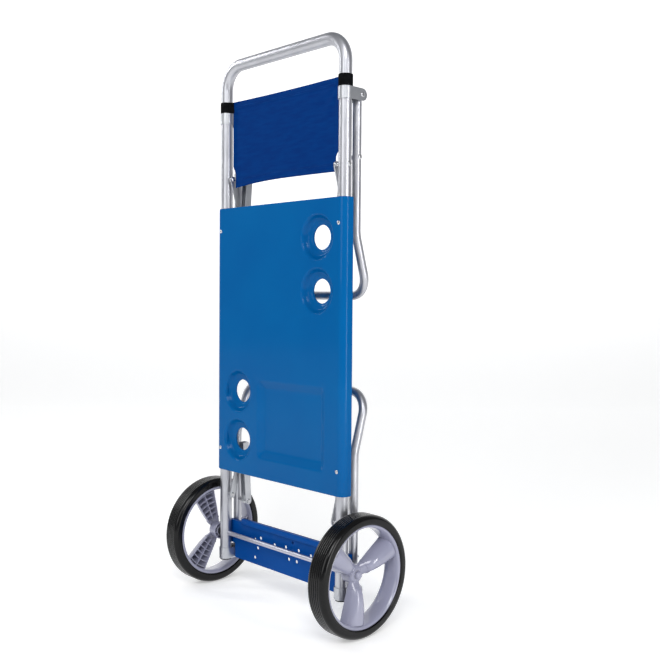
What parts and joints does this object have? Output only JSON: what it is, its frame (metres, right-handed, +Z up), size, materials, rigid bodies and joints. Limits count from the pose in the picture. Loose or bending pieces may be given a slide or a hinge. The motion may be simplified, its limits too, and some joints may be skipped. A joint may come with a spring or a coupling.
{
  "type": "beach cart",
  "caption": "Folding aluminium beach cart with large wheels, a moulded table board with cup recesses, a fabric panel, and fold-out legs with a load platform.",
  "frame": {"origin": "on the ground, midway between the wheels and straight under the axle", "axes": "+Z up along the main tubes; -Y out of the table board's face; +X along the axle, to the right of someone facing the board"},
  "size_m": [0.514, 0.24, 1.184],
  "materials": {
    "tube": "polished, clear lacquered",
    "bracket": "zinc plated sheet",
    "stay": "satin",
    "steel": "bright zinc plated",
    "axle_steel": "bright drawn rod",
    "board": "moulded, semi-gloss",
    "platform": "moulded, semi-gloss",
    "panel_fabric": "coated polyester weave",
    "webbing": "woven polypropylene tape",
    "black_plastic": "moulded nylon",
    "wheel_plastic": "moulded, glossy",
    "bush": "natural nylon",
    "tyre": "moulded rubber with fine grooves"
  },
  "bodies": {
    "root": {"frame_tube": "tube", "tube_plug_left": "black_plastic", "tube_plug_right": "black_plastic", "table_board": "board", "board_screws": "steel", "storage_panel": "panel_fabric", "strap_left": "webbing", "strap_right": "webbing", "upper_bracket_left": "bracket", "upper_bracket_right": "bracket", "lower_bracket_left": "bracket", "lower_bracket_right": "bracket", "upper_pivot_rivets": "steel", "lower_pivot_rivets": "steel", "upper_pivot_washers": "black_plastic", "lower_pivot_washers": "black_plastic", "upper_stay_rivets": "steel", "lower_stay_rivets": "steel", "axle": "axle_steel", "axle_washers": "black_plastic", "hub_cap_left": "wheel_plastic", "hub_cap_right": "wheel_plastic"},
    "wheel_left": {"rim_left": "wheel_plastic", "tyre_left": "tyre", "hub_bush_left": "bush"},
    "wheel_right": {"rim_right": "wheel_plastic", "tyre_right": "tyre", "hub_bush_right": "bush"},
    "upper_leg": {"upper_leg_tube": "tube", "upper_link_rivets": "steel"},
    "lower_leg": {"lower_leg_tube": "tube", "load_platform": "platform", "platform_screws": "steel", "lower_link_rivets": "steel"},
    "upper_arm_left": {"upper_arm_left": "stay", "upper_knee_rivet_left": "steel"},
    "upper_link_left": {"upper_link_left": "stay"},
    "upper_arm_right": {"upper_arm_right": "stay", "upper_knee_rivet_right": "steel"},
    "upper_link_right": {"upper_link_right": "stay"},
    "lower_arm_left": {"lower_arm_left": "stay", "lower_knee_rivet_left": "steel"},
    "lower_link_left": {"lower_link_left": "stay"},
    "lower_arm_right": {"lower_arm_right": "stay", "lower_knee_rivet_right": "steel"},
    "lower_link_right": {"lower_link_right": "stay"}
  },
  "joints": [
    {"name": "wheel_left_spin", "type": "hinge", "parent": "root", "child": "wheel_left", "pos_m": [-0.235, 0, 0.12], "axis": [1, 0, 0], "continuous": true},
    {"name": "wheel_right_spin", "type": "hinge", "parent": "root", "child": "wheel_right", "pos_m": [0.235, 0, 0.12], "axis": [1, 0, 0], "continuous": true},
    {"name": "upper_leg_fold", "type": "hinge", "parent": "root", "child": "upper_leg", "pos_m": [0, 0.033, 1.058], "axis": [1, 0, 0], "range_deg": [0, 90]},
    {"name": "upper_arm_left_turn", "type": "hinge", "parent": "root", "child": "upper_arm_left", "pos_m": [-0.165, 0, 0.921], "axis": [1, 0, 0], "range_deg": [0, 116.6]},
    {"name": "upper_link_left_turn", "type": "hinge", "parent": "upper_leg", "child": "upper_link_left", "pos_m": [-0.1545, 0.033, 0.938], "axis": [1, 0, 0], "range_deg": [-135, 0]},
    {"name": "upper_arm_right_turn", "type": "hinge", "parent": "root", "child": "upper_arm_right", "pos_m": [0.165, 0, 0.921], "axis": [1, 0, 0], "range_deg": [0, 116.6]},
    {"name": "upper_link_right_turn", "type": "hinge", "parent": "upper_leg", "child": "upper_link_right", "pos_m": [0.1545, 0.033, 0.938], "axis": [1, 0, 0], "range_deg": [-135, 0]},
    {"name": "lower_leg_fold", "type": "hinge", "parent": "root", "child": "lower_leg", "pos_m": [0, 0.033, 0.074], "axis": [-1, 0, 0], "range_deg": [0, 90]},
    {"name": "lower_arm_left_turn", "type": "hinge", "parent": "root", "child": "lower_arm_left", "pos_m": [-0.165, 0, 0.211], "axis": [-1, 0, 0], "range_deg": [0, 116.6]},
    {"name": "lower_link_left_turn", "type": "hinge", "parent": "lower_leg", "child": "lower_link_left", "pos_m": [-0.1545, 0.033, 0.194], "axis": [-1, 0, 0], "range_deg": [-135, 0]},
    {"name": "lower_arm_right_turn", "type": "hinge", "parent": "root", "child": "lower_arm_right", "pos_m": [0.165, 0, 0.211], "axis": [-1, 0, 0], "range_deg": [0, 116.6]},
    {"name": "lower_link_right_turn", "type": "hinge", "parent": "lower_leg", "child": "lower_link_right", "pos_m": [0.1545, 0.033, 0.194], "axis": [-1, 0, 0], "range_deg": [-135, 0]}
  ],
  "couplings": [
    {"joint": "upper_arm_left_turn", "follows": "upper_leg_fold", "ratio": 1.29},
    {"joint": "upper_link_left_turn", "follows": "upper_leg_fold", "ratio": -1.4944},
    {"joint": "upper_arm_right_turn", "follows": "upper_leg_fold", "ratio": 1.29},
    {"joint": "upper_link_right_turn", "follows": "upper_leg_fold", "ratio": -1.4944},
    {"joint": "lower_arm_left_turn", "follows": "lower_leg_fold", "ratio": 1.29},
    {"joint": "lower_link_left_turn", "follows": "lower_leg_fold", "ratio": -1.4944},
    {"joint": "lower_arm_right_turn", "follows": "lower_leg_fold", "ratio": 1.29},
    {"joint": "lower_link_right_turn", "follows": "lower_leg_fold", "ratio": -1.4944}
  ]
}
